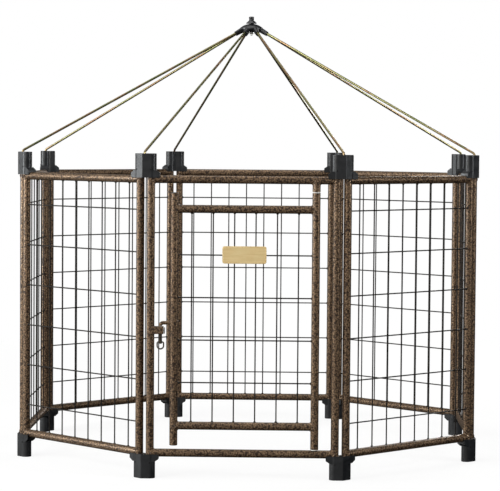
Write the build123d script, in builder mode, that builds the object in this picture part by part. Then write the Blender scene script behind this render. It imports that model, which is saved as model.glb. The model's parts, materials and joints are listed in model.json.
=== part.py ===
from build123d import *
import math
import os

# Octagonal wire pet playpen with a roof frame, in millimetres.
# +Z is up, the floor is z = 0, the vertical axis of the pen is X = Y = 0,
# and the gate panel faces -Y.

# ---- driving dimensions ----
SIDES = 8
PANEL_PITCH = 625.0         # corner to corner along one panel's mid-plane
PEN_HEIGHT = 1026.0         # floor to the top of the corner connectors
APEX_HEIGHT = 1500.0        # floor to the top of the finial
TUBE_DIA = 25.4
TUBE_WALL = 1.5
UPRIGHT_U = 292.3           # panel centre line to each upright's axis
RAIL_INSET = 80.5           # rail axis to the nearer end of the corner fittings
FIT = 0.1                   # radial slack of plastic on tube

WIRE_DIA = 4.2
WIRE_LAYER = 1.7            # vertical and horizontal wires lie this far either side of the mid-plane
PANEL_COLUMNS, COLUMN_STEP = 8, 67.5
PANEL_ROWS, ROW_STEP = 6, 134.5

SLEEVE_WALL = 4.4
FITTING_HEIGHT = 76.0       # corner fitting, from its closed end to its mouth
FITTING_FLOOR = 5.0
EAR_LENGTH = 11.0           # saddle ears beyond the sleeve, along the rail
EAR_TIP, EAR_ROOT = 61.0, 52.0   # ear slope, measured from the closed end
EAR_OVERLAP = 3.0
EAR_HALF_WIDTH = 16.0
RIDGE_FILLET, EDGE_FILLET = 3.5, 1.2
SCREW_LEVEL = 50.0
SCREW_HEAD_DIA, SCREW_HEAD = 5.0, 1.2
SCREW_SHANK_DIA, SCREW_SHANK = 2.5, 6.0

ROD_DIA = 7.94
ROD_LEG_RADIUS = 818.0      # pen axis to the rods' vertical legs
ROD_LEG = 50.0              # leg length inside the connector
ROD_BEND = 10.0
ROD_INNER_RADIUS = 24.0
ROD_HOLE_R, ROD_HOLE_EXTRA = 4.2, 3.0
ROD_REF_RADIUS, ROD_REF_Z = 60.0, 1439.8   # a point on each rod's axis, near the hub
ROD_OUT_RADIUS, ROD_OUT_Z = 819.2, 1030.0  # a point on the same axis, above the connector

HUB_REACH = 59.5            # pen axis to the socket mouths
SOCKET_MOUTH = (12.5, 13.5, 5.0)   # width, height and corner radius at the mouth
SOCKET_ROOT = (18.5, 19.5, 7.0)    # the same at the root
SOCKET_ROOT_RADIUS, SOCKET_BORE_R = 18.0, 4.0
HUB_BOSS_R = 9.0
HUB_TOP, HUB_BOTTOM = 1474.0, 1446.0
HUB_DOME_RADIUS, HUB_SHOULDER_RADIUS = 40.0, 28.0
HUB_SHOULDER_Z, HUB_RIM_TOP, HUB_RIM_BOTTOM = 1468.5, 1460.0, 1455.0
STUD_DIA, STUD_BOTTOM, STUD_TOP = 6.0, 1434.0, 1492.0
WASHER_DIA, WASHER_THICK = 30.0, 2.5
NUT_ACROSS_FLATS, NUT_THICK = 10.0, 5.0
CONE_SEAT, CONE_TOP = 1474.1, 1487.0
CONE_SKIRT_R, CONE_TOP_R, CONE_SKIRT_Z = 19.0, 8.5, 1475.9
KNOB_SEAT = 1487.1
CONE_BORE_R, CONE_BOSS_R = 3.1, 8.0
CONE_WALL, CONE_RIM, CONE_FLOOR = 1.6, 1.5, 4.0
KNOB_CAP_R, KNOB_STEM_R, KNOB_FLANGE_R, KNOB_RIB = 9.5, 4.4, 8.5, 1.8
KNOB_WINDOW = (1489.3, 1493.8)   # gap between flange and cap, bridged by ribs
KNOB_CAP_SIDE, KNOB_CAP_FLAT_R = 1496.8, 5.0
KNOB_CAP_ROUND = (7.9, 1499.0)   # a point of the rounding between the cap's side and its flat top
KNOB_BORE_END = 0.5

GATE_HINGE_U = 227.9        # hinge axis, from the panel's centre line
GATE_LATCH_U = -217.7       # latch-side upright
GATE_RAILS = (167.4, 852.5)
GATE_TUBE_ENDS = (107.0, 901.7)
HINGE_TUBE_ENDS = (95.9, 905.8)
GATE_COLUMNS, GATE_COLUMN_STEP = 6, 67.3
GATE_ROWS, GATE_ROW_MID = 4, 506.0
STUB_BOTTOM = 909.0
HINGE_PIN_DIA = 12.0
BUSH_FLANGE, BUSH_DEPTH, BUSH_INSET = 2.4, 22.0, 0.2
STUB_PLATE = 3.0
UPPER_PIN = (882.0, 913.0)
LOWER_PIN_TOP = 116.0
PIN_CHAMFER = 1.0
HINGE_PLAY = 0.05           # radial slack of each bush on its pin

LATCH_U = -260.5            # axis of the latch bolt
BLOCK_BOTTOM, BLOCK_TOP = 457.5, 481.5
BLOCK_ROOT, BLOCK_END_U = 2.0, -251.0
BLOCK_BACK, BLOCK_FRONT, BLOCK_FILLET = 8.0, 15.0, 2.0
BOLT_DIA, NOSE_DIA = 10.5, 4.4
BOLT_TRAVEL = 8.5
BOLT_REST_SHOULDER, BOLT_REST_TOP = 457.9, 481.1
BOLT_FOOT, BOLT_FOOT_FILLET, NOSE_CHAMFER = 426.0, 2.5, 0.6
TAB_PIN_Z, TAB_PIN_DIA, TAB_PIN_DEPTH = 468.5, 2.0, 1.5
TAB_U, TAB_THICK, TAB_HALF_WIDTH = -249.5, 2.6, 4.0
TAB_BOTTOM, TAB_TOP = 458.5, 477.5
SLOT_END_PLAY, SLOT_SIDE_PLAY = 0.3, 0.15
EYE_R = 2.6
RING_Z, RING_DROP = 431.5, 21.8
RING_HALF_WIDTH, RING_TOP_BEND, RING_LOW_BEND = 10.15, 4.2, 10.1
RING_WIRE = 4.6
ARM_Z, ARM_DIA, ARM_BEND = 492.5, 11.4, 9.0
ARM_END_Z = 483.0
ARM_SOCKET_WIDTH, ARM_SOCKET_DEPTH = 6.4, 8.0
COLLAR_BOTTOM, COLLAR_TOP, COLLAR_SEAM, COLLAR_WALL = 441.5, 500.0, 463.0, 1.6
COLLAR_CHAMFER, SEAM_WIDTH, SEAM_DEPTH = 0.8, 1.2, 0.7
CAP_THICK, CAP_PLUG, CAP_FILLET = 2.3, 12.0, 1.6

PLATE_U, PLATE_Z = 3.0, 708.8
PLATE_WIDTH, PLATE_HEIGHT, PLATE_THICK = 139.0, 55.0, 1.6
PLATE_CORNER, PLATE_BEVEL = 7.0, 0.4
PLATE_BACK = 3.9            # back of the plate, from the gate's mid-plane
CLIP_OFFSET, CLIP_HALF, CLIP_BACK = 48.0, 5.0, -1.2

# ---- derived ----
HALF_TURN = math.pi / SIDES
APOTHEM = PANEL_PITCH / 2 / math.tan(HALF_TURN)
TUBE_R = TUBE_DIA / 2
BORE_R = TUBE_R + FIT
WELD_GAP = 0.02             # where one tube is shaped to fit round another
COPE_R = TUBE_R + WELD_GAP
CUSP_TRIM = 3.0             # thin points cut off the shaped tube ends
SLEEVE_R = TUBE_R + SLEEVE_WALL
COLLAR_R = TUBE_R + COLLAR_WALL
TOP_RAIL = PEN_HEIGHT - RAIL_INSET
ROD_SLOPE = (ROD_OUT_Z - ROD_REF_Z) / (ROD_OUT_RADIUS - ROD_REF_RADIUS)

SCREW_LEVELS = (SCREW_LEVEL, PEN_HEIGHT - SCREW_LEVEL)

PANELS = ["gate_side", "front_right", "right", "back_right", "back", "back_left", "left", "front_left"]
CORNERS = ["front_right", "right_front", "right_back", "back_right",
           "back_left", "left_back", "left_front", "front_left"]

os.makedirs("parts", exist_ok=True)


def save(builder, label):
    builder.part.label = label
    export_step(builder.part, "parts/" + label + ".step")


def save_group(pieces, label):
    export_step(Compound(label=label, children=pieces), "parts/" + label + ".step")


def heading(degrees):
    return Vector(math.cos(math.radians(degrees)), math.sin(math.radians(degrees)), 0)


def panel_plane(index):
    """Mid-plane of one panel: x along the panel, y up, z outwards, origin on the floor."""
    outwards = heading(-90 + 360 / SIDES * index)
    return Plane(origin=outwards * APOTHEM, x_dir=Vector(0, 0, 1).cross(outwards), z_dir=outwards)


def rod_plane(index):
    """Vertical plane through the pen's axis and one corner: x outwards, y up."""
    outwards = heading(-90 + 360 / SIDES * (index + 0.5))
    return Plane(origin=(0, 0, 0), x_dir=outwards, z_dir=outwards.cross(Vector(0, 0, 1)))


def bar(start, end, radius, mode=Mode.ADD):
    """Round bar from one point to another, in the active part."""
    along = Plane(origin=start, z_dir=end - start)
    with Locations(along):
        Cylinder(radius, (end - start).length, align=(Align.CENTER, Align.CENTER, Align.MIN), mode=mode)


def panel_bar(plane, start, end, radius, mode=Mode.ADD):
    """Round bar between two points of a panel, each given as (along, up, outwards)."""
    bar(plane.from_local_coords(Vector(start)), plane.from_local_coords(Vector(end)), radius, mode)


def panel_box(plane, low, high, mode=Mode.ADD):
    """Box in the active part, from its low corner to its high corner (along, up, outwards)."""
    size = Vector(high) - Vector(low)
    with Locations(Plane(plane.from_local_coords(Vector(low)), plane.x_dir, plane.z_dir)):
        Box(size.X, size.Y, size.Z, align=(Align.MIN, Align.MIN, Align.MIN), mode=mode)


def make_upright(plane, u, low, high, screw_levels=()):
    with BuildPart() as tube:
        panel_bar(plane, (u, low, 0), (u, high, 0), TUBE_R)
        panel_bar(plane, (u, low, 0), (u, high, 0), TUBE_R - TUBE_WALL, Mode.SUBTRACT)
        for z in screw_levels:
            panel_bar(plane, (u, z, 0), (u, z, TUBE_DIA), SCREW_SHANK_DIA / 2, Mode.SUBTRACT)
    return tube.part.solids()[0]


def make_rail(plane, z, u_low, u_high):
    """Horizontal tube between two uprights, its ends shaped to fit round them."""
    with BuildPart() as tube:
        start, end = (u_low + CUSP_TRIM, z, 0), (u_high - CUSP_TRIM, z, 0)
        panel_bar(plane, start, end, TUBE_R)
        panel_bar(plane, start, end, TUBE_R - TUBE_WALL, Mode.SUBTRACT)
        for u in (u_low, u_high):
            panel_bar(plane, (u, z - TUBE_DIA, 0), (u, z + TUBE_DIA, 0), COPE_R, Mode.SUBTRACT)
    return tube.part.solids().sort_by(SortBy.VOLUME)[-1]


def make_frame(plane, uprights, rails, ends, screw_levels=()):
    """Separate tubes of a welded frame: uprights at the given places, rails at the given heights."""
    tubes = [make_upright(plane, u, *span, screw_levels) for u, span in zip(uprights, ends)]
    tubes += [make_rail(plane, z, uprights[0], uprights[1]) for z in rails]
    return tubes


def make_hinge_stub(plane):
    """Short tube under the top rail, closed by a plate that carries the upper hinge pin."""
    with BuildPart() as stub:
        u = GATE_HINGE_U
        low, high = (u, STUB_BOTTOM, 0), (u, TOP_RAIL, 0)
        rail_ends = (u - TUBE_DIA, TOP_RAIL, 0), (u + TUBE_DIA, TOP_RAIL, 0)
        panel_bar(plane, low, high, TUBE_R)
        panel_bar(plane, (u, STUB_BOTTOM + STUB_PLATE, 0), high, TUBE_R - TUBE_WALL, Mode.SUBTRACT)
        panel_bar(plane, *rail_ends, COPE_R, Mode.SUBTRACT)
        panel_bar(plane, low, high, HINGE_PIN_DIA / 2, Mode.SUBTRACT)
    return stub.part.solids().sort_by(SortBy.VOLUME)[-1]


def make_mesh(plane, columns, rows, u_ends, z_ends):
    with BuildPart() as mesh:
        for u in columns:
            panel_bar(plane, (u, z_ends[0], -WIRE_LAYER), (u, z_ends[1], -WIRE_LAYER), WIRE_DIA / 2)
        for z in rows:
            panel_bar(plane, (u_ends[0], z, WIRE_LAYER), (u_ends[1], z, WIRE_LAYER), WIRE_DIA / 2)
    return mesh


def spread(count, step, middle=0.0):
    return [middle + (i - (count - 1) / 2) * step for i in range(count)]


# ---- panel frames: two uprights and two rails each ----
FRAME_ENDS = [(FITTING_FLOOR, PEN_HEIGHT - FITTING_FLOOR)] * 2
for index, name in enumerate(PANELS):
    plane = panel_plane(index)
    tubes = make_frame(plane, (-UPRIGHT_U, UPRIGHT_U), (RAIL_INSET, TOP_RAIL), FRAME_ENDS, SCREW_LEVELS)
    if index == 0:
        tubes.append(make_hinge_stub(plane))
    save_group(tubes, name + "_panel_frame")

# ---- welded wire meshes of the seven plain panels ----
for index, name in enumerate(PANELS[1:], start=1):
    mesh = make_mesh(
        panel_plane(index),
        spread(PANEL_COLUMNS, COLUMN_STEP),
        spread(PANEL_ROWS, ROW_STEP, PEN_HEIGHT / 2),
        (-UPRIGHT_U + TUBE_R, UPRIGHT_U - TUBE_R),
        (RAIL_INSET + TUBE_R, TOP_RAIL - TUBE_R),
    )
    save(mesh, name + "_mesh")


# ---- corner fittings: the same moulding, upright as a foot and upside down as a connector ----
def make_fitting(index, is_foot):
    """Sleeve for two uprights at one corner; heights are measured from its closed end."""
    def level(height):
        return height if is_foot else PEN_HEIGHT - height

    sides = [(panel_plane(index), 1), (panel_plane(index + 1), -1)]
    ridge = SLEEVE_R * math.tan(HALF_TURN)
    with BuildPart() as fitting:
        for plane, side in sides:
            low, high = sorted((level(0), level(FITTING_HEIGHT)))
            near, far = sorted((side * UPRIGHT_U, side * (PANEL_PITCH / 2 + ridge)))
            panel_box(plane, (near, low, -SLEEVE_R), (far, high, SLEEVE_R))
            panel_bar(plane, (side * UPRIGHT_U, low, 0), (side * UPRIGHT_U, high, 0), SLEEVE_R)
        fillet(fitting.edges().filter_by(Axis.Z).sort_by(from_pen_axis)[-1], RIDGE_FILLET)
        closed_end = fitting.faces().filter_by(Axis.Z).sort_by(Axis.Z)[0 if is_foot else -1]
        fillet(closed_end.edges(), EDGE_FILLET)
        for plane, side in sides:
            sleeve_edge = UPRIGHT_U - SLEEVE_R
            outline = [
                (UPRIGHT_U, FITTING_HEIGHT),
                (sleeve_edge - EAR_LENGTH, FITTING_HEIGHT),
                (sleeve_edge - EAR_LENGTH, EAR_TIP),
                (sleeve_edge + EAR_OVERLAP, EAR_ROOT),
                (UPRIGHT_U, EAR_ROOT),
            ]
            with BuildSketch(plane) as ear:
                with BuildLine():
                    Polyline([(side * u, level(h)) for u, h in outline], close=True)
                make_face()
            extrude(ear.sketch, amount=EAR_HALF_WIDTH, both=True)
        for plane, side in sides:
            u = side * UPRIGHT_U
            tube_ends = (u, level(FITTING_FLOOR), 0), (u, level(2 * FITTING_HEIGHT), 0)
            rail_ends = (u, level(RAIL_INSET), 0), (u - side * 2 * SLEEVE_R, level(RAIL_INSET), 0)
            screw_ends = (u, level(SCREW_LEVEL), 0), (u, level(SCREW_LEVEL), 2 * SLEEVE_R)
            panel_bar(plane, *tube_ends, BORE_R, Mode.SUBTRACT)
            panel_bar(plane, *rail_ends, BORE_R, Mode.SUBTRACT)
            panel_bar(plane, *screw_ends, SCREW_SHANK_DIA / 2, Mode.SUBTRACT)
        if not is_foot:
            plane = rod_plane(index)
            hole_top = plane.from_local_coords(Vector(ROD_LEG_RADIUS, PEN_HEIGHT))
            hole_bottom = hole_top - Vector(0, 0, ROD_LEG + ROD_HOLE_EXTRA)
            bar(hole_bottom, hole_top, ROD_HOLE_R, Mode.SUBTRACT)
    return fitting


def from_pen_axis(edge):
    return math.hypot(edge.center().X, edge.center().Y)


for index, name in enumerate(CORNERS):
    save(make_fitting(index, is_foot=True), name + "_foot")
    save(make_fitting(index, is_foot=False), name + "_connector")


# ---- screws that hold the corner fittings on the uprights ----
def make_screw(plane, u, z):
    with BuildPart() as screw:
        under_head = (u, z, SLEEVE_R)
        panel_bar(plane, under_head, (u, z, SLEEVE_R + SCREW_HEAD), SCREW_HEAD_DIA / 2)
        outer_face = screw.faces().sort_by(Axis(plane.origin, plane.z_dir))[-1]
        fillet(outer_face.edges(), SCREW_HEAD / 2)
        panel_bar(plane, (u, z, SLEEVE_R - SCREW_SHANK), under_head, SCREW_SHANK_DIA / 2)
    return screw.part.solids()[0]


UPRIGHTS = [(panel_plane(index), u) for index in range(SIDES) for u in (-UPRIGHT_U, UPRIGHT_U)]
save_group([make_screw(plane, u, z) for z in SCREW_LEVELS for plane, u in UPRIGHTS], "corner_screws")


# ---- roof rods ----
def rod_height(radius):
    """Height of a rod's sloping axis at a distance from the pen's axis."""
    return ROD_REF_Z + ROD_SLOPE * (radius - ROD_REF_RADIUS)


def make_rod(index):
    with BuildPart() as rod:
        with BuildLine(rod_plane(index)) as path:
            FilletPolyline(
                (ROD_INNER_RADIUS, rod_height(ROD_INNER_RADIUS)),
                (ROD_LEG_RADIUS, rod_height(ROD_LEG_RADIUS)),
                (ROD_LEG_RADIUS, PEN_HEIGHT - ROD_LEG),
                radius=ROD_BEND,
            )
        with BuildSketch(Plane(origin=path.line @ 0, z_dir=path.line % 0)):
            Circle(ROD_DIA / 2)
        sweep()
    return rod


for index, name in enumerate(CORNERS):
    save(make_rod(index), name + "_roof_rod")

# ---- hub: a dome with eight sloping sockets ----
with BuildPart() as hub:
    with BuildSketch(Plane.XZ):
        with BuildLine():
            rim_top, rim_bottom = (HUB_DOME_RADIUS, HUB_RIM_TOP), (HUB_DOME_RADIUS, HUB_RIM_BOTTOM)
            Polyline((0, HUB_BOTTOM), (0, HUB_TOP), (HUB_BOSS_R, HUB_TOP))
            ThreePointArc((HUB_BOSS_R, HUB_TOP), (HUB_SHOULDER_RADIUS, HUB_SHOULDER_Z), rim_top)
            Polyline(rim_top, rim_bottom, (HUB_SHOULDER_RADIUS, HUB_BOTTOM), (0, HUB_BOTTOM))
        make_face()
    revolve(axis=Axis.Z)
    for index in range(SIDES):
        plane = rod_plane(index)
        mouth = plane.from_local_coords(Vector(HUB_REACH, rod_height(HUB_REACH), 0))
        root = plane.from_local_coords(Vector(SOCKET_ROOT_RADIUS, rod_height(SOCKET_ROOT_RADIUS), 0))
        with BuildSketch(Plane(origin=mouth, x_dir=plane.z_dir, z_dir=root - mouth)):
            RectangleRounded(*SOCKET_MOUTH)
        with BuildSketch(Plane(origin=root, x_dir=plane.z_dir, z_dir=root - mouth)):
            RectangleRounded(*SOCKET_ROOT)
        loft()
    for index in range(SIDES):
        plane = rod_plane(index)
        inner = plane.from_local_coords(Vector(ROD_INNER_RADIUS, rod_height(ROD_INNER_RADIUS), 0))
        outer = plane.from_local_coords(Vector(2 * HUB_REACH, rod_height(2 * HUB_REACH), 0))
        bar(inner, outer, SOCKET_BORE_R, Mode.SUBTRACT)
    with Locations((0, 0, HUB_BOTTOM)):
        Cylinder(STUD_DIA / 2 + FIT, 2 * (HUB_TOP - HUB_BOTTOM), mode=Mode.SUBTRACT)
save(hub, "roof_hub")

# ---- hub fasteners ----
with BuildPart() as stud:
    bar(Vector(0, 0, STUD_BOTTOM), Vector(0, 0, STUD_TOP), STUD_DIA / 2)
    chamfer(stud.edges().filter_by(GeomType.CIRCLE), STUD_DIA / 8)
save(stud, "hub_stud")

with BuildPart() as washer:
    with BuildSketch(Plane.XY.offset(HUB_BOTTOM - WASHER_THICK)):
        Circle(WASHER_DIA / 2)
        Circle(STUD_DIA / 2 + FIT, mode=Mode.SUBTRACT)
    extrude(amount=WASHER_THICK)
save(washer, "hub_washer")

with BuildPart() as nut:
    with BuildSketch(Plane.XY.offset(HUB_BOTTOM - WASHER_THICK - NUT_THICK)):
        RegularPolygon(NUT_ACROSS_FLATS / 2, 6, major_radius=False)
        Circle(STUD_DIA / 2, mode=Mode.SUBTRACT)
    extrude(amount=NUT_THICK)
save(nut, "hub_nut")

# ---- cone that clamps a fabric cover on the hub ----
with BuildPart() as cone:
    with BuildSketch(Plane.XZ):
        with BuildLine():
            Polyline(
                (CONE_BORE_R, CONE_SEAT),
                (CONE_BOSS_R, CONE_SEAT),
                (CONE_BOSS_R, CONE_TOP - CONE_FLOOR),
                (CONE_SKIRT_R - CONE_WALL, CONE_SKIRT_Z),
                (CONE_SKIRT_R, CONE_SKIRT_Z),
                (CONE_SKIRT_R, CONE_SKIRT_Z + CONE_RIM),
                (CONE_TOP_R, CONE_TOP),
                (CONE_BORE_R, CONE_TOP),
                close=True,
            )
        make_face()
    revolve(axis=Axis.Z)
save(cone, "clamp_cone")

# ---- finial knob: flange, stem, four ribs and a cap, threaded on the stud ----
with BuildPart() as knob:
    window_low, window_high = KNOB_WINDOW
    with BuildSketch(Plane.XZ):
        with BuildLine():
            Polyline(
                (0, KNOB_SEAT),
                (KNOB_FLANGE_R, KNOB_SEAT),
                (KNOB_FLANGE_R, window_low),
                (KNOB_STEM_R, window_low),
                (KNOB_STEM_R, window_high),
                (KNOB_CAP_R, window_high),
                (KNOB_CAP_R, KNOB_CAP_SIDE),
            )
            ThreePointArc((KNOB_CAP_R, KNOB_CAP_SIDE), KNOB_CAP_ROUND, (KNOB_CAP_FLAT_R, APEX_HEIGHT))
            Polyline((KNOB_CAP_FLAT_R, APEX_HEIGHT), (0, APEX_HEIGHT), (0, KNOB_SEAT))
        make_face()
    revolve(axis=Axis.Z)
    with Locations((0, 0, (window_low + window_high) / 2)):
        Box(2 * KNOB_FLANGE_R, KNOB_RIB, window_high - window_low)
        Box(KNOB_RIB, 2 * KNOB_FLANGE_R, window_high - window_low)
    bore_top = Vector(0, 0, STUD_TOP + KNOB_BORE_END)
    bar(Vector(0, 0, KNOB_SEAT), bore_top, STUD_DIA / 2 + HINGE_PLAY, Mode.SUBTRACT)
save(knob, "finial_knob")

# ---- gate leaf: latch-side upright, hinge tube and two rails ----
gate_side = panel_plane(0)
GATE_UPRIGHTS = (GATE_LATCH_U, GATE_HINGE_U)
gate_tubes = make_frame(gate_side, GATE_UPRIGHTS, GATE_RAILS, (GATE_TUBE_ENDS, HINGE_TUBE_ENDS))
save_group(gate_tubes, "gate_leaf_frame")

gate_mesh = make_mesh(
    gate_side,
    spread(GATE_COLUMNS, GATE_COLUMN_STEP, sum(GATE_UPRIGHTS) / 2),
    spread(GATE_ROWS, ROW_STEP, GATE_ROW_MID),
    (GATE_LATCH_U + TUBE_R, GATE_HINGE_U - TUBE_R),
    (GATE_RAILS[0] + TUBE_R, GATE_RAILS[1] - TUBE_R),
)
save(gate_mesh, "gate_mesh")


def make_end_cap(tube_end, direction):
    """Plug with a rounded flange on the open end of the latch-side upright."""
    def at(height):
        return (GATE_LATCH_U, tube_end + direction * height, 0)

    with BuildPart() as cap:
        panel_bar(gate_side, at(0), at(CAP_THICK), TUBE_R)
        outer_face = cap.faces().filter_by(Axis.Z).sort_by(Axis.Z)[-1 if direction > 0 else 0]
        fillet(outer_face.edges(), CAP_FILLET)
        panel_bar(gate_side, at(-CAP_PLUG), at(0), TUBE_R - TUBE_WALL)
    return cap.part.solids()[0]


save_group([make_end_cap(GATE_TUBE_ENDS[0], -1), make_end_cap(GATE_TUBE_ENDS[1], 1)], "gate_end_caps")

# ---- gate hinge: fixed pins in flanged bushes ----
with BuildPart() as upper_pin:
    low, high = UPPER_PIN
    panel_bar(gate_side, (GATE_HINGE_U, low, 0), (GATE_HINGE_U, high, 0), HINGE_PIN_DIA / 2)
    chamfer(upper_pin.edges().filter_by(GeomType.CIRCLE).sort_by(Axis.Z)[0], PIN_CHAMFER)
save(upper_pin, "upper_hinge_pin")

with BuildPart() as lower_pin:
    low, high = RAIL_INSET, LOWER_PIN_TOP
    panel_bar(gate_side, (GATE_HINGE_U, low, 0), (GATE_HINGE_U, high, 0), HINGE_PIN_DIA / 2)
    chamfer(lower_pin.edges().filter_by(GeomType.CIRCLE).sort_by(Axis.Z)[-1], PIN_CHAMFER)
    rail_ends = [(GATE_HINGE_U + side * TUBE_DIA, RAIL_INSET, 0) for side in (-1, 1)]
    panel_bar(gate_side, *rail_ends, COPE_R, Mode.SUBTRACT)
save(lower_pin, "lower_hinge_pin")


def make_bush(tube_end, direction):
    def at(height):
        return (GATE_HINGE_U, tube_end + direction * height, 0)

    with BuildPart() as bush:
        panel_bar(gate_side, at(0), at(BUSH_FLANGE), TUBE_R - BUSH_INSET)
        panel_bar(gate_side, at(-BUSH_DEPTH), at(0), TUBE_R - TUBE_WALL)
        panel_bar(gate_side, at(-BUSH_DEPTH), at(BUSH_FLANGE), HINGE_PIN_DIA / 2 + HINGE_PLAY, Mode.SUBTRACT)
    return bush.part.solids()[0]


save_group([make_bush(HINGE_TUBE_ENDS[0], -1), make_bush(HINGE_TUBE_ENDS[1], 1)], "hinge_bushes")

# ---- latch bracket, welded to the fixed upright ----
with BuildPart() as bracket:
    low, high = (LATCH_U, BLOCK_BOTTOM, 0), (LATCH_U, BLOCK_TOP, 0)
    shoulder_stop = (LATCH_U, BOLT_REST_SHOULDER + BOLT_TRAVEL + SLOT_END_PLAY, 0)
    slot_low = TAB_PIN_Z - TAB_PIN_DIA / 2 - SLOT_END_PLAY
    slot_high = TAB_PIN_Z + TAB_PIN_DIA / 2 + BOLT_TRAVEL + SLOT_END_PLAY
    slot_half = TAB_PIN_DIA / 2 + SLOT_SIDE_PLAY
    block_start = (-UPRIGHT_U + BLOCK_ROOT, BLOCK_BOTTOM, -BLOCK_BACK)
    panel_box(gate_side, block_start, (BLOCK_END_U, BLOCK_TOP, BLOCK_FRONT))
    fillet(bracket.edges().filter_by(Axis.X), BLOCK_FILLET)
    panel_bar(gate_side, (-UPRIGHT_U, BLOCK_BOTTOM, 0), (-UPRIGHT_U, BLOCK_TOP, 0), COPE_R, Mode.SUBTRACT)
    panel_bar(gate_side, low, shoulder_stop, BOLT_DIA / 2 + HINGE_PLAY, Mode.SUBTRACT)
    panel_bar(gate_side, low, high, NOSE_DIA / 2 + HINGE_PLAY, Mode.SUBTRACT)
    slot_start, slot_end = (LATCH_U, slot_low, -slot_half), (BLOCK_END_U, slot_high, slot_half)
    panel_box(gate_side, slot_start, slot_end, Mode.SUBTRACT)
save(bracket, "latch_bracket")

# ---- latch bolt: wide shank with an eye for the ring, narrow nose ----
tab_pin_start = (LATCH_U - TAB_PIN_DEPTH, TAB_PIN_Z, 0)
with BuildPart() as bolt:
    shoulder = (LATCH_U, BOLT_REST_SHOULDER, 0)
    panel_bar(gate_side, (LATCH_U, BOLT_FOOT, 0), shoulder, BOLT_DIA / 2)
    fillet(bolt.edges().filter_by(GeomType.CIRCLE).sort_by(Axis.Z)[0], BOLT_FOOT_FILLET)
    panel_bar(gate_side, shoulder, (LATCH_U, BOLT_REST_TOP, 0), NOSE_DIA / 2)
    chamfer(bolt.edges().filter_by(GeomType.CIRCLE).sort_by(Axis.Z)[-1], NOSE_CHAMFER)
    eye_ends = [(LATCH_U + side * BOLT_DIA, RING_Z, 0) for side in (-1, 1)]
    panel_bar(gate_side, *eye_ends, EYE_R, Mode.SUBTRACT)
    panel_bar(gate_side, tab_pin_start, (TAB_U, TAB_PIN_Z, 0), TAB_PIN_DIA / 2, Mode.SUBTRACT)
save(bolt, "latch_bolt")

# ---- latch tab: thin plate on a cross pin through the bolt ----
with BuildPart() as tab:
    tab_low, tab_high = (TAB_U, TAB_BOTTOM, -TAB_HALF_WIDTH), (TAB_U + TAB_THICK, TAB_TOP, TAB_HALF_WIDTH)
    panel_box(gate_side, tab_low, tab_high)
    panel_bar(gate_side, tab_pin_start, (TAB_U, TAB_PIN_Z, 0), TAB_PIN_DIA / 2)
save(tab, "latch_tab")

# ---- pull ring, its straight top side running through the bolt's eye ----
with BuildPart() as ring:
    with BuildLine(gate_side) as ring_path:
        FilletPolyline(
            (LATCH_U - RING_HALF_WIDTH, RING_Z),
            (LATCH_U + RING_HALF_WIDTH, RING_Z),
            (LATCH_U + RING_HALF_WIDTH, RING_Z - RING_DROP),
            (LATCH_U - RING_HALF_WIDTH, RING_Z - RING_DROP),
            radius=(RING_TOP_BEND, RING_TOP_BEND, RING_LOW_BEND, RING_LOW_BEND),
            close=True,
        )
    with BuildSketch(Plane(origin=ring_path.line @ 0, z_dir=ring_path.line % 0)):
        Circle(RING_WIRE / 2)
    sweep()
save(ring, "pull_ring")

# ---- latch collar and bent arm on the gate ----
with BuildPart() as collar:
    low, high = (GATE_LATCH_U, COLLAR_BOTTOM, 0), (GATE_LATCH_U, COLLAR_TOP, 0)
    panel_bar(gate_side, low, high, COLLAR_R)
    chamfer(collar.edges().filter_by(GeomType.CIRCLE), COLLAR_CHAMFER)
    with BuildSketch(Plane(gate_side.from_local_coords(Vector(GATE_LATCH_U, COLLAR_SEAM, 0)))):
        Circle(COLLAR_R)
        Circle(COLLAR_R - SEAM_DEPTH, mode=Mode.SUBTRACT)
    extrude(amount=SEAM_WIDTH, mode=Mode.SUBTRACT)
    panel_bar(gate_side, low, high, TUBE_R, Mode.SUBTRACT)
save(collar, "latch_collar")

with BuildPart() as arm:
    with BuildLine(gate_side) as arm_path:
        FilletPolyline((GATE_LATCH_U, ARM_Z), (LATCH_U, ARM_Z), (LATCH_U, ARM_END_Z), radius=ARM_BEND)
    with BuildSketch(Plane(origin=arm_path.line @ 0, z_dir=arm_path.line % 0)):
        Circle(ARM_DIA / 2)
    sweep()
    cope_ends = (GATE_LATCH_U, ARM_Z - ARM_DIA, 0), (GATE_LATCH_U, ARM_Z + ARM_DIA, 0)
    panel_bar(gate_side, *cope_ends, COLLAR_R + WELD_GAP, Mode.SUBTRACT)
    half = ARM_SOCKET_WIDTH / 2
    socket_low = (LATCH_U - half, ARM_END_Z, -half)
    socket_high = (LATCH_U + half, ARM_END_Z + ARM_SOCKET_DEPTH, half)
    panel_box(gate_side, socket_low, socket_high, Mode.SUBTRACT)
save(arm, "latch_arm")

# ---- nameplate and its clips on the gate mesh ----
with BuildPart() as plate:
    plate_centre = gate_side.from_local_coords(Vector(PLATE_U, PLATE_Z, PLATE_BACK))
    with BuildSketch(Plane(plate_centre, gate_side.x_dir, gate_side.z_dir)):
        RectangleRounded(PLATE_WIDTH, PLATE_HEIGHT, PLATE_CORNER)
    extrude(amount=PLATE_THICK)
    chamfer(plate.faces().sort_by(Axis.Y)[0].edges(), PLATE_BEVEL)
save(plate, "nameplate")

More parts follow.
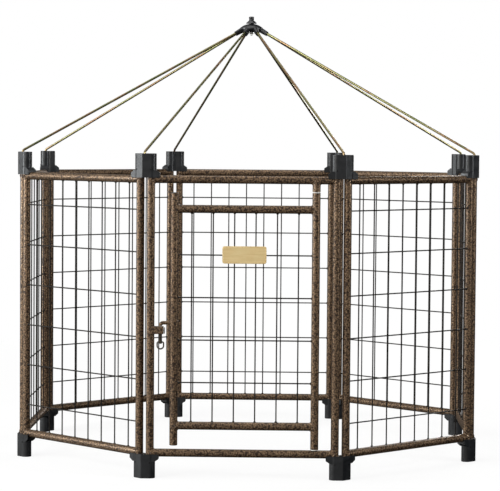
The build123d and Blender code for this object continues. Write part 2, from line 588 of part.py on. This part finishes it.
clip_row = spread(GATE_ROWS, ROW_STEP, GATE_ROW_MID)[-1]
clips = []
for u in (PLATE_U - CLIP_OFFSET, PLATE_U + CLIP_OFFSET):
    clip_low, clip_high = (u - CLIP_HALF, clip_row - CLIP_HALF), (u + CLIP_HALF, clip_row + CLIP_HALF)
    wire_ends = [(u + side * 2 * CLIP_HALF, clip_row, WIRE_LAYER) for side in (-1, 1)]
    with BuildPart() as clip:
        panel_box(gate_side, (*clip_low, CLIP_BACK), (*clip_high, PLATE_BACK))
        panel_bar(gate_side, *wire_ends, WIRE_DIA / 2, Mode.SUBTRACT)
    clips.append(clip.part.solids()[0])
save_group(clips, "nameplate_clips")
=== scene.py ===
"""Octagonal wire pet playpen: surfaces, welds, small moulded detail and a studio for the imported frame.

Every length is in metres, in the frame's own axes: +Z up, the gate panel faces -Y.
"""

import json
import math

import bpy
from mathutils import Matrix, Vector, noise


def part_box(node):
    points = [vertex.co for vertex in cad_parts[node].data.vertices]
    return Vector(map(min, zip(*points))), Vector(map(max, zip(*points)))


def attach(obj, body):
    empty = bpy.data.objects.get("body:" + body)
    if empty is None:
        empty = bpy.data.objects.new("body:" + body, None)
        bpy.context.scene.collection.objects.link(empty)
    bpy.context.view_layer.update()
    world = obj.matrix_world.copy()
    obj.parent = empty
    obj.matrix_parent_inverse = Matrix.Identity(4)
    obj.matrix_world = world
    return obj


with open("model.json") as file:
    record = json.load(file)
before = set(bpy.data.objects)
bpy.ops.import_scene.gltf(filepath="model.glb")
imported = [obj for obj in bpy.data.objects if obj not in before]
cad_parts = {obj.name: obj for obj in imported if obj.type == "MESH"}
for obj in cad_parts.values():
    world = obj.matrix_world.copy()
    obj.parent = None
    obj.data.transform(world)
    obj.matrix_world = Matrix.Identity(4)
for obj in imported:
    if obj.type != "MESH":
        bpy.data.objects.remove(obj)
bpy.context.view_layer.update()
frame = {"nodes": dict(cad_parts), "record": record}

MM = 0.001
SIDES = 8
PANELS = ["gate_side", "front_right", "right", "back_right", "back", "back_left", "left", "front_left"]

# ---- places and sizes read from the frame ----
back_low, back_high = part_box("back_panel_frame")
mesh_low, mesh_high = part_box("back_mesh")
gate_low, gate_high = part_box("gate_leaf_frame")
gate_mesh_low, gate_mesh_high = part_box("gate_mesh")
plate_low, plate_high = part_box("nameplate")
collar_low, collar_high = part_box("latch_collar")
bracket_low, bracket_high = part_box("latch_bracket")
arm_low, arm_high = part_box("latch_arm")

TUBE_R = (back_high.y - back_low.y) / 2
APOTHEM = (back_high.y + back_low.y) / 2
UPRIGHT_U = back_high.x - TUBE_R
RAILS = (mesh_low.z - TUBE_R, mesh_high.z + TUBE_R)
GATE_UPRIGHTS = (gate_low.x + TUBE_R, gate_high.x - TUBE_R)
GATE_RAILS = (gate_mesh_low.z - TUBE_R, gate_mesh_high.z + TUBE_R)
HINGE_U = GATE_UPRIGHTS[1]


def heading(degrees):
    return Vector((math.cos(math.radians(degrees)), math.sin(math.radians(degrees)), 0))


def panel_axes(index):
    """Directions of one panel: along it, and outwards."""
    outwards = heading(-90 + 360 / SIDES * index)
    return Vector((0, 0, 1)).cross(outwards), outwards


def panel_point(index, along, up, out=0.0):
    """A point of a panel's mid-plane, moved outwards by out."""
    tangent, outwards = panel_axes(index)
    return outwards * (APOTHEM + out) + tangent * along + Vector((0, 0, up))


# ---- materials ----
GREY_SPREAD = [(0.3, (0.32, 0.32, 0.32)), (0.7, (0.68, 0.68, 0.68))]


def add(tree, kind, settings=None, **inputs):
    """One shader node; each input is a number, a colour, a vector or another node's output."""
    made = tree.nodes.new("ShaderNode" + kind)
    for key, value in (settings or {}).items():
        setattr(made, key, value)
    for key, value in inputs.items():
        socket = made.inputs[key.replace("_", " ")]
        if isinstance(value, bpy.types.NodeSocket):
            tree.links.new(value, socket)
        else:
            socket.default_value = value
    return made


def ramp(tree, factor, stops):
    """Colour ramp from (position, colour) stops."""
    made = add(tree, "ValToRGB", Fac=factor)
    points = made.color_ramp.elements
    while len(points) < len(stops):
        points.new(1.0)
    for point, (position, colour) in zip(points, stops):
        point.position = position
        point.color = (*colour, 1.0)
    return made.outputs["Color"]


def span(tree, factor, low, high, to_low, to_high):
    """Factor from low..high spread over to_low..to_high."""
    made = add(tree, "MapRange", Value=factor, From_Min=low, From_Max=high, To_Min=to_low, To_Max=to_high)
    return made.outputs["Result"]


def mixed(tree, blend, factor, first, second):
    """Mix of two colours; the sockets are reached by number because their names repeat."""
    made = tree.nodes.new("ShaderNodeMix")
    made.data_type = "RGBA"
    made.blend_type = blend
    for number, value in ((0, factor), (6, first), (7, second)):
        if isinstance(value, bpy.types.NodeSocket):
            tree.links.new(value, made.inputs[number])
        else:
            made.inputs[number].default_value = value
    return made.outputs[2]


def start_material(name, **sockets):
    """New material, with uniform shader values set on their own sockets."""
    made = bpy.data.materials.new(name)
    made.use_nodes = True
    shader = made.node_tree.nodes["Principled BSDF"]
    for key, value in sockets.items():
        shader.inputs[key.replace("_", " ")].default_value = value
    place = add(made.node_tree, "TexCoord").outputs["Object"]
    return made, made.node_tree, shader, place


def finish_material(tree, shader, colour, roughness, height, depth, strength=1.0):
    """Join colour, roughness and a bump of a real depth in metres to the shader."""
    tree.links.new(colour, shader.inputs["Base Color"])
    tree.links.new(roughness, shader.inputs["Roughness"])
    bump = add(tree, "Bump", Height=height, Distance=depth, Strength=strength)
    tree.links.new(bump.outputs["Normal"], shader.inputs["Normal"])


def hammertone(name, tones, cell, depth, coat=0.35):
    """Hammered metallic paint: low round blisters, with darker veins between them."""
    made, tree, shader, place = start_material(name, Metallic=0.62, Coat_Weight=coat, Coat_Roughness=0.18)
    drift = add(tree, "TexNoise", Vector=place, Scale=0.25 / cell, Detail=2.0)
    moved = add(tree, "VectorMath", {"operation": "MULTIPLY_ADD"})
    tree.links.new(drift.outputs["Color"], moved.inputs[0])
    moved.inputs[1].default_value = (cell * 0.9,) * 3
    tree.links.new(place, moved.inputs[2])
    blisters = add(tree, "TexVoronoi", {"feature": "SMOOTH_F1"},
                   Vector=moved.outputs[0], Scale=1 / cell, Smoothness=0.25)
    fall = span(tree, blisters.outputs["Distance"], 0.0, 1.0, 1.0, 0.0)
    flecks = add(tree, "TexNoise", Vector=place, Scale=3.0 / cell, Detail=3.0)
    cloud = add(tree, "TexNoise", Vector=place, Scale=0.06 / cell, Detail=3.0)
    dark, middle, light = tones
    colour = ramp(tree, fall, [(0.30, dark), (0.55, middle), (0.88, light)])
    colour = mixed(tree, "OVERLAY", 0.35, colour, ramp(tree, flecks.outputs["Fac"], GREY_SPREAD))
    colour = mixed(tree, "OVERLAY", 0.45, colour, ramp(tree, cloud.outputs["Fac"], GREY_SPREAD))
    roughness = span(tree, fall, 0.2, 0.9, 0.46, 0.30)
    finish_material(tree, shader, colour, roughness, fall, depth)
    return made


def moulded_plastic(name, dark, light, roughness):
    """Satin moulded plastic with a fine spark-eroded grain and faint flow marks."""
    made, tree, shader, place = start_material(name, Specular_IOR_Level=0.55)
    grain = add(tree, "TexNoise", Vector=place, Scale=2200.0, Detail=2.0)
    flow = add(tree, "TexNoise", Vector=place, Scale=28.0, Detail=4.0, Distortion=1.2)
    colour = ramp(tree, flow.outputs["Fac"], [(0.3, dark), (0.72, light)])
    rough = span(tree, flow.outputs["Fac"], 0.3, 0.7, roughness - 0.05, roughness + 0.09)
    finish_material(tree, shader, colour, rough, grain.outputs["Fac"], 0.06 * MM, 0.6)
    return made


def passivated_zinc(name):
    """Yellow chromate on zinc: gold that drifts to pink and green along the rod."""
    made, tree, shader, place = start_material(name, Metallic=0.95)
    drift = add(tree, "TexNoise", Vector=place, Scale=9.0, Detail=2.5, Distortion=0.6)
    fine = add(tree, "TexNoise", Vector=place, Scale=420.0, Detail=3.0)
    colour = ramp(tree, drift.outputs["Fac"], [
        (0.28, (0.16, 0.19, 0.08)), (0.42, (0.25, 0.24, 0.11)), (0.52, (0.28, 0.24, 0.12)),
        (0.62, (0.30, 0.18, 0.10)), (0.74, (0.20, 0.21, 0.09))])
    colour = mixed(tree, "OVERLAY", 0.2, colour, ramp(tree, fine.outputs["Fac"], GREY_SPREAD))
    rough = span(tree, fine.outputs["Fac"], 0.3, 0.7, 0.27, 0.37)
    finish_material(tree, shader, colour, rough, fine.outputs["Fac"], 0.02 * MM, 0.25)
    return made


def bright_metal(name, dark, light, stretch, roughness, metallic=0.9):
    """Bare or plated metal, brushed along the axis in which stretch is small."""
    made, tree, shader, place = start_material(name, Metallic=metallic)
    scaled = add(tree, "Mapping", Vector=place, Scale=stretch)
    brushing = add(tree, "TexNoise", Vector=scaled.outputs["Vector"], Scale=1.0, Detail=4.0)
    cloud = add(tree, "TexNoise", Vector=place, Scale=30.0, Detail=3.0)
    colour = ramp(tree, brushing.outputs["Fac"], [(0.25, dark), (0.7, light)])
    colour = mixed(tree, "OVERLAY", 0.25, colour, ramp(tree, cloud.outputs["Fac"], GREY_SPREAD))
    rough = span(tree, brushing.outputs["Fac"], 0.3, 0.7, roughness - 0.06, roughness + 0.08)
    finish_material(tree, shader, colour, rough, brushing.outputs["Fac"], 0.04 * MM, 0.5)
    return made


# dark veins, middle and light blisters of each hammered paint
BRONZE_TONES = (0.032, 0.017, 0.009), (0.170, 0.106, 0.059), (0.33, 0.220, 0.127)
WIRE_TONES = (0.005, 0.004, 0.003), (0.012, 0.009, 0.007), (0.032, 0.025, 0.019)
LATCH_TONES = (0.014, 0.010, 0.006), (0.055, 0.043, 0.028), (0.14, 0.112, 0.073)
OXIDE_TONES = (0.010, 0.010, 0.011), (0.035, 0.034, 0.034)
ZINC_TONES = (0.42, 0.42, 0.40), (0.70, 0.70, 0.67)
BRASS_TONES = (0.70, 0.51, 0.22), (0.92, 0.72, 0.38)
SURFACES = {
    "hammertone_steel": hammertone("bronze_hammertone", BRONZE_TONES, 5.0 * MM, 0.55 * MM),
    "mesh_wire": hammertone("wire_hammertone", WIRE_TONES, 2.4 * MM, 0.2 * MM, coat=0.12),
    "bronze_latch": hammertone("latch_hammertone", LATCH_TONES, 2.8 * MM, 0.3 * MM),
    "black_plastic": moulded_plastic("black_plastic", (0.005, 0.006, 0.007), (0.011, 0.012, 0.014), 0.33),
    "white_nylon": moulded_plastic("white_nylon", (0.72, 0.71, 0.67), (0.86, 0.85, 0.82), 0.42),
    "dark_screw": bright_metal("black_oxide", *OXIDE_TONES, (300, 300, 300), 0.38),
    "plated_rod": passivated_zinc("yellow_zinc"),
    "zinc_steel": bright_metal("bright_zinc", *ZINC_TONES, (240, 240, 240), 0.30),
    "brass_plate": bright_metal("brushed_brass", *BRASS_TONES, (14, 900, 900), 0.42, metallic=0.35),
}

SLOT_OF = {entry["node"]: entry["material_slot"] for entry in frame["record"]["subparts"]}
for node_name, node_object in frame["nodes"].items():
    node_object.data.materials.clear()
    node_object.data.materials.append(SURFACES[SLOT_OF[node_name]])


# ---- mesh building ----
def piece(name, shapes, body, slot):
    """One object from a list of (vertices, faces), smooth shaded, riding on a body."""
    vertices, faces = [], []
    for points, rings in shapes:
        offset = len(vertices)
        vertices += [tuple(point) for point in points]
        faces += [tuple(corner + offset for corner in ring) for ring in rings]
    data = bpy.data.meshes.new(name)
    data.from_pydata(vertices, [], faces)
    data.polygons.foreach_set("use_smooth", [True] * len(data.polygons))
    data.materials.append(SURFACES[slot])
    data.validate()
    made = bpy.data.objects.new(name, data)
    bpy.context.scene.collection.objects.link(made)
    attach(made, body)
    return made


def tube_shape(centres, radii, sides=10, closed=False):
    """Round tube through points, with one radius at each point; open tubes get flat end caps."""
    count = len(centres)
    points, faces = [], []
    reference = None
    for i, centre in enumerate(centres):
        before = centres[(i - 1) % count] if closed or i else centre
        after = centres[(i + 1) % count] if closed or i < count - 1 else centre
        along = (after - before).normalized()
        if reference is None:
            reference = along.orthogonal().normalized()
        reference = (reference - along * reference.dot(along)).normalized()
        across = along.cross(reference)
        for k in range(sides):
            angle = 2 * math.pi * k / sides
            points.append(centre + (reference * math.cos(angle) + across * math.sin(angle)) * radii[i])
    for i in range(count if closed else count - 1):
        here, there = i * sides, (i + 1) % count * sides
        for k in range(sides):
            step = (k + 1) % sides
            faces.append((here + k, here + step, there + step, there + k))
    if not closed:
        faces.append(tuple(reversed(range(sides))))
        faces.append(tuple(range((count - 1) * sides, count * sides)))
    return points, faces


def blob_shape(centre, axes, sides=8, rings=5):
    """Rounded lump with three half-axes, each a vector."""
    points, faces = [centre + axes[2]], []
    for j in range(1, rings):
        tilt = math.pi * j / rings
        for k in range(sides):
            turn = 2 * math.pi * k / sides
            flat = axes[0] * math.cos(turn) + axes[1] * math.sin(turn)
            points.append(centre + flat * math.sin(tilt) + axes[2] * math.cos(tilt))
    points.append(centre - axes[2])
    last = len(points) - 1
    for k in range(sides):
        step = (k + 1) % sides
        faces.append((0, 1 + k, 1 + step))
        faces.append((last, last - sides + step, last - sides + k))
        for j in range(rings - 2):
            low, high = 1 + j * sides, 1 + (j + 1) * sides
            faces.append((low + k, high + k, high + step, low + step))
    return points, faces


def uneven(point, size, amount):
    """A smooth factor near 1 that differs from place to place."""
    return 1.0 + amount * noise.noise(point * (1 / size))


# ---- welds where a rail meets an upright ----
WELD_RADIUS = 2.3 * MM
WELD_POINTS = 40
WELD_STAND_OFF = 0.3 * MM    # centre line of a bead, out from the tube's surface


def saddle_weld(index, upright_u, rail_z, side, pipe_r):
    """Bead round the end of a rail; side is +1 where the rail leaves the upright towards +u."""
    centres, radii = [], []
    for i in range(WELD_POINTS):
        angle = 2 * math.pi * i / WELD_POINTS
        out = pipe_r * math.sin(angle)
        along = upright_u + side * (pipe_r * abs(math.cos(angle)) + WELD_STAND_OFF)
        point = panel_point(index, along, rail_z + pipe_r * math.cos(angle), out)
        ripple = 1 + 0.13 * math.sin(angle * 17 + index)
        centres.append(point)
        radii.append(WELD_RADIUS * ripple * uneven(point, 9 * MM, 0.35))
    return tube_shape(centres, radii, sides=8, closed=True)


for panel_index, panel in enumerate(PANELS):
    beads = [saddle_weld(panel_index, side * UPRIGHT_U, rail_z, -side, TUBE_R)
             for side in (-1, 1) for rail_z in RAILS]
    piece(panel + "_frame_welds", beads, "pen", "hammertone_steel")

gate_beads = [saddle_weld(0, GATE_UPRIGHTS[k], rail_z, 1 - 2 * k, TUBE_R)
              for k in (0, 1) for rail_z in GATE_RAILS]
piece("gate_frame_welds", gate_beads, "gate", "hammertone_steel")


def stub_weld():
    """Bead where the hinge stub meets the underside of the top rail."""
    centres, radii = [], []
    for i in range(WELD_POINTS):
        angle = 2 * math.pi * i / WELD_POINTS
        out = TUBE_R * math.sin(angle)
        up = RAILS[1] - math.sqrt(TUBE_R ** 2 - out ** 2) - WELD_STAND_OFF
        point = panel_point(0, HINGE_U + TUBE_R * math.cos(angle), up, out)
        centres.append(point)
        radii.append(WELD_RADIUS * uneven(point, 7 * MM, 0.4))
    return tube_shape(centres, radii, sides=8, closed=True)


def line_weld(index, start, end, radius):
    """Short straight bead between two panel points given as (along, up, out)."""
    steps = 18
    centres, radii = [], []
    for i in range(steps + 1):
        share = i / steps
        place = [a + (b - a) * share for a, b in zip(start, end)]
        point = panel_point(index, *place)
        centres.append(point)
        ends = math.sqrt(max(0.05, 1 - (2 * share - 1) ** 8))
        radii.append(radius * ends * (1 + 0.12 * math.sin(i * 2.4)) * uneven(point, 6 * MM, 0.3))
    return tube_shape(centres, radii)


BEAD_HALF = 6.0 * MM         # half length of the beads above and below the latch bracket
ROOT_OUT, ROOT_CHORD = -9.5 * MM, 8.0 * MM
ROOT_END_GAP = 2.0 * MM
bracket_root = -UPRIGHT_U + math.sqrt(TUBE_R ** 2 - ROOT_CHORD ** 2)
bracket_front = -UPRIGHT_U + TUBE_R
latch_beads = [stub_weld()]
for weld_z in (bracket_low.z, bracket_high.z):
    bead_start, bead_end = ((bracket_front, weld_z, out) for out in (-BEAD_HALF, BEAD_HALF))
    latch_beads.append(line_weld(0, bead_start, bead_end, 1.5 * MM))
root_start = bracket_root, bracket_low.z + ROOT_END_GAP, ROOT_OUT
root_end = bracket_root, bracket_high.z - ROOT_END_GAP, ROOT_OUT
latch_beads.append(line_weld(0, root_start, root_end, 1.6 * MM))
piece("gate_post_welds", latch_beads, "pen", "hammertone_steel")

COLLAR_R = (collar_high.x - collar_low.x) / 2
ARM_WELD_POINTS = 28
arm_r = (arm_high.y - arm_low.y) / 2
arm_z = arm_high.z - arm_r
ring_centres, ring_radii = [], []
for i in range(ARM_WELD_POINTS):
    angle = 2 * math.pi * i / ARM_WELD_POINTS
    out = arm_r * math.sin(angle)
    along = GATE_UPRIGHTS[0] - math.sqrt(COLLAR_R ** 2 - out ** 2)
    point = panel_point(0, along, arm_z + arm_r * math.cos(angle), out)
    ring_centres.append(point)
    ring_radii.append(1.3 * MM * uneven(point, 5 * MM, 0.35))
arm_bead = tube_shape(ring_centres, ring_radii, sides=8, closed=True)
piece("latch_arm_weld", [arm_bead], "gate", "hammertone_steel")


# ---- welds of the wire meshes ----
WIRE_R = 2.1 * MM            # half the CAD wire's diameter
WIRE_LAYER = (mesh_high.y - mesh_low.y) / 2 - WIRE_R


def mesh_welds(index, columns, rows, u_ends, z_ends):
    """Nuggets where wires cross, and lumps where each wire end meets a tube."""
    tangent, outwards = panel_axes(index)
    up = Vector((0, 0, 1))
    shapes = []

    def lump(along, height, out, half_along, half_up, half_out):
        centre = panel_point(index, along, height, out)
        size = uneven(centre, 30 * MM, 0.3)
        axes = (tangent * half_along * size, outwards * half_out * size, up * half_up * size)
        shapes.append(blob_shape(centre, axes))

    for along in columns:
        for height in rows:
            lump(along, height, 0.0, 2.9 * MM, 2.9 * MM, 1.5 * MM)
        for height in z_ends:
            lump(along, height, -WIRE_LAYER, 4.2 * MM, 3.4 * MM, 3.6 * MM)
    for height in rows:
        for along in u_ends:
            lump(along, height, WIRE_LAYER, 3.4 * MM, 4.2 * MM, 3.6 * MM)
    return shapes


# the wire counts and pitches repeat the CAD's, because a box does not hold them
PANEL_COLUMNS, COLUMN_STEP = 8, 67.5 * MM
PANEL_ROWS, ROW_STEP = 6, 134.5 * MM
GATE_COLUMNS, GATE_COLUMN_STEP = 6, 67.3 * MM
GATE_ROWS, GATE_ROW_MID = 4, 506.0 * MM


def spread(count, step, middle=0.0):
    return [middle + (i - (count - 1) / 2) * step for i in range(count)]


for panel_index, panel in enumerate(PANELS[1:], start=1):
    shapes = mesh_welds(
        panel_index, spread(PANEL_COLUMNS, COLUMN_STEP), spread(PANEL_ROWS, ROW_STEP, sum(RAILS) / 2),
        (-UPRIGHT_U + TUBE_R, UPRIGHT_U - TUBE_R), (RAILS[0] + TUBE_R, RAILS[1] - TUBE_R))
    piece(panel + "_mesh_welds", shapes, "pen", "mesh_wire")
gate_shapes = mesh_welds(
    0, spread(GATE_COLUMNS, GATE_COLUMN_STEP, sum(GATE_UPRIGHTS) / 2),
    spread(GATE_ROWS, ROW_STEP, GATE_ROW_MID),
    (GATE_UPRIGHTS[0] + TUBE_R, GATE_UPRIGHTS[1] - TUBE_R),
    (GATE_RAILS[0] + TUBE_R, GATE_RAILS[1] - TUBE_R))
piece("gate_mesh_welds", gate_shapes, "gate", "mesh_wire")

# ---- raised border of the nameplate ----
plate_mid = (plate_low + plate_high) / 2
plate_half = (plate_high - plate_low) / 2
PLATE_MARGIN, PLATE_CORNER, BORDER_R = 3.4 * MM, 4.0 * MM, 0.45 * MM
border = []
for turn, (sx, sz) in zip((0, 90, 180, 270), ((1, 1), (-1, 1), (-1, -1), (1, -1))):
    centre = Vector((plate_mid.x + sx * (plate_half.x - PLATE_MARGIN - PLATE_CORNER), plate_low.y,
                     plate_mid.z + sz * (plate_half.z - PLATE_MARGIN - PLATE_CORNER)))
    for k in range(7):
        angle = math.radians(turn + 15 * k)
        border.append(centre + Vector((math.cos(angle), 0, math.sin(angle))) * PLATE_CORNER)
border_shape = tube_shape(border, [BORDER_R] * len(border), closed=True)
piece("nameplate_border", [border_shape], "gate", "brass_plate")

# ---- studio ----
scene = bpy.context.scene
scene.view_settings.view_transform = "Standard"

world = bpy.data.worlds.new("studio")
scene.world = world
world.use_nodes = True
sky = world.node_tree
sky.nodes.clear()
direction = add(sky, "TexCoord").outputs["Generated"]
facing = add(sky, "VectorMath", {"operation": "DOT_PRODUCT"})
sky.links.new(direction, facing.inputs[0])
facing.inputs[1].default_value = Vector((-0.80, -0.42, 0.40)).normalized()
glow = span(sky, facing.outputs["Value"], -0.35, 1.0, 0.02, 0.62)
lit = add(sky, "Background", Color=(1.0, 0.985, 0.965, 1.0), Strength=glow)
plain = add(sky, "Background", Color=(1, 1, 1, 1), Strength=1.0)
seen = add(sky, "LightPath").outputs["Is Camera Ray"]
both = add(sky, "MixShader", Fac=seen)
sky.links.new(lit.outputs[0], both.inputs[1])
sky.links.new(plain.outputs[0], both.inputs[2])
output = add(sky, "OutputWorld")
sky.links.new(both.outputs[0], output.inputs["Surface"])

FLOOR_RADIUS = 60.0
FLOOR_PLAIN, FLOOR_BRIGHT = 2.0, 4.0    # the floor fades to plain white between these distances
bpy.ops.mesh.primitive_circle_add(vertices=96, radius=FLOOR_RADIUS, fill_type="NGON")
floor = bpy.context.object
floor.name = "studio_floor"
floor.visible_diffuse = False
floor.visible_glossy = False
floor_surface = bpy.data.materials.new("pale_floor")
floor_surface.use_nodes = True
tree = floor_surface.node_tree
tree.nodes.clear()
position = add(tree, "NewGeometry").outputs["Position"]
distance = add(tree, "VectorMath", {"operation": "LENGTH"})
tree.links.new(position, distance.inputs[0])
far = span(tree, distance.outputs["Value"], FLOOR_PLAIN, FLOOR_BRIGHT, 0.86, 1.0)
matt = add(tree, "BsdfDiffuse", Color=(0.9, 0.9, 0.9, 1.0))
bright = add(tree, "Emission", Color=(1, 1, 1, 1), Strength=1.0)
blend = add(tree, "MixShader", Fac=far)
tree.links.new(matt.outputs[0], blend.inputs[1])
tree.links.new(bright.outputs[0], blend.inputs[2])
floor_output = add(tree, "OutputMaterial")
tree.links.new(blend.outputs[0], floor_output.inputs["Surface"])
floor.data.materials.append(floor_surface)


def softbox(name, place, aim, size, power, tint=(1, 1, 1)):
    light = bpy.data.lights.new(name, "AREA")
    light.shape = "RECTANGLE"
    light.size, light.size_y = size
    light.energy = power
    light.color = tint
    lamp = bpy.data.objects.new(name, light)
    scene.collection.objects.link(lamp)
    lamp.location = place
    lamp.rotation_euler = (Vector(aim) - Vector(place)).to_track_quat("-Z", "Y").to_euler()


softbox("key", (-4.4, -4.8, 3.2), (0, 0, 0.6), (2.2, 2.2), 270, (1.0, 0.98, 0.95))
softbox("left", (-5.0, -1.2, 1.7), (0, -0.3, 0.7), (1.6, 2.8), 150, (0.94, 0.98, 1.0))
softbox("right", (4.8, -2.2, 2.4), (0, -0.3, 0.6), (1.2, 2.4), 150, (0.96, 0.98, 1.0))
softbox("overhead", (-0.4, 0.0, 5.0), (0, 0, 0), (3.0, 3.0), 50)
softbox("back", (2.8, 4.8, 2.6), (0, 0, 0.6), (2.4, 2.4), 170, (1.0, 0.99, 0.97))

# ---- camera at the photograph's place ----
camera_data = bpy.data.cameras.new("camera")
camera = bpy.data.objects.new("camera", camera_data)
scene.collection.objects.link(camera)
scene.camera = camera
camera_data.sensor_width = 36.0
camera_data.lens = 153.43    # this, the angles and the place were fitted to the photograph
yaw, pitch, roll = (math.radians(value) for value in (-1.48, 2.78, 0.446))
forward = Vector((math.sin(yaw) * math.cos(pitch), math.cos(yaw) * math.cos(pitch), -math.sin(pitch)))
right = Vector((math.cos(yaw), -math.sin(yaw), 0))
upward = right.cross(forward)
rolled_right = right * math.cos(roll) + upward * math.sin(roll)
rolled_up = upward * math.cos(roll) - right * math.sin(roll)
turned = Matrix((rolled_right, rolled_up, -forward)).transposed()
camera.matrix_world = Matrix.Translation((0.193, -7.447, 1.064)) @ turned.to_4x4()
